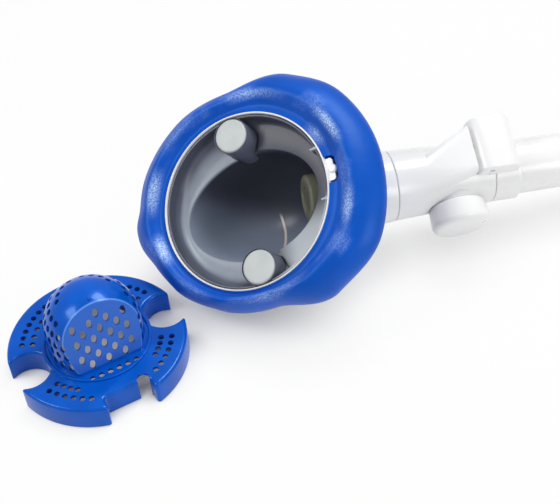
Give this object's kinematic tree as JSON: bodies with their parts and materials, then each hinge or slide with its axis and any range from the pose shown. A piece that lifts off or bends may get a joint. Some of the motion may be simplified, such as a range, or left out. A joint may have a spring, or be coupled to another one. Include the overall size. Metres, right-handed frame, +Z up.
{
  "type": "manual pool vacuum head",
  "caption": "Hand-held pool vacuum head with a round mouth, soft bumper, check valve, side knob and latch for its pole, and a separate perforated strainer.",
  "frame": {"origin": "centre of the bounding box at the floor the parts lie on", "axes": "+X along the pole away from the head, +Z up from the floor, +Y to the back"},
  "size_m": [0.5828, 0.1444, 0.1076],
  "materials": {
    "white_plastic": "smooth glossy white plastic",
    "blue_rubber": "satin royal blue rubber, softly worn",
    "blue_plastic": "glossy royal blue plastic",
    "grey_plastic": "satin slate grey plastic",
    "pale_plastic": "satin pale grey plastic",
    "olive_rubber": "soft olive grey rubber",
    "black_rubber": "matt black rubber",
    "steel": "plain stainless steel",
    "white_enamel": "smooth white enamel on a thin metal tube"
  },
  "bodies": {
    "head": {"head_shell": "white_plastic", "bumper": "blue_rubber", "chamber_liner": "grey_plastic", "post_upper": "grey_plastic", "post_lower": "grey_plastic", "post_cap_upper": "pale_plastic", "post_cap_lower": "pale_plastic", "post_screw_upper": "steel", "post_screw_lower": "steel", "valve_housing": "grey_plastic", "valve_seat": "olive_rubber", "valve_pin": "steel", "neck": "white_plastic", "neck_seal": "black_rubber", "end_collar": "white_plastic", "latch_pin": "steel", "latch_spring": "steel", "knob_seal": "black_rubber", "pole_tube": "white_enamel", "pole_seal": "black_rubber", "pole_ferrule": "grey_plastic"},
    "strainer": {"strainer": "blue_plastic"},
    "flap": {"valve_flap": "black_rubber"},
    "lever": {"latch_lever": "white_plastic"},
    "knob": {"side_knob": "white_plastic", "knob_clip": "steel"}
  },
  "joints": [
    {"name": "strainer_lift", "type": "slide", "parent": "head", "child": "strainer", "axis": [0, 0, 1], "range_m": [0, 0.12]},
    {"name": "flap_swing", "type": "hinge", "parent": "head", "child": "flap", "pos_m": [-0.10048, 0.01015, 0.05511], "axis": [-0.037, -0.887, -0.4603], "range_deg": [0, 55]},
    {"name": "latch_press", "type": "hinge", "parent": "head", "child": "lever", "pos_m": [-0.00599, 0.01079, 0.06367], "axis": [-0.037, -0.887, -0.4603], "range_deg": [0, 9], "stiffness_Nm_per_rad": 0.5, "springref_deg": -5.73, "deforming": ["latch_spring"]},
    {"name": "knob_turn", "type": "hinge", "parent": "head", "child": "knob", "pos_m": [-0.0272, -0.00256, 0.0333], "axis": [-0.037, -0.887, -0.4603], "range_deg": [0, 90]}
  ]
}
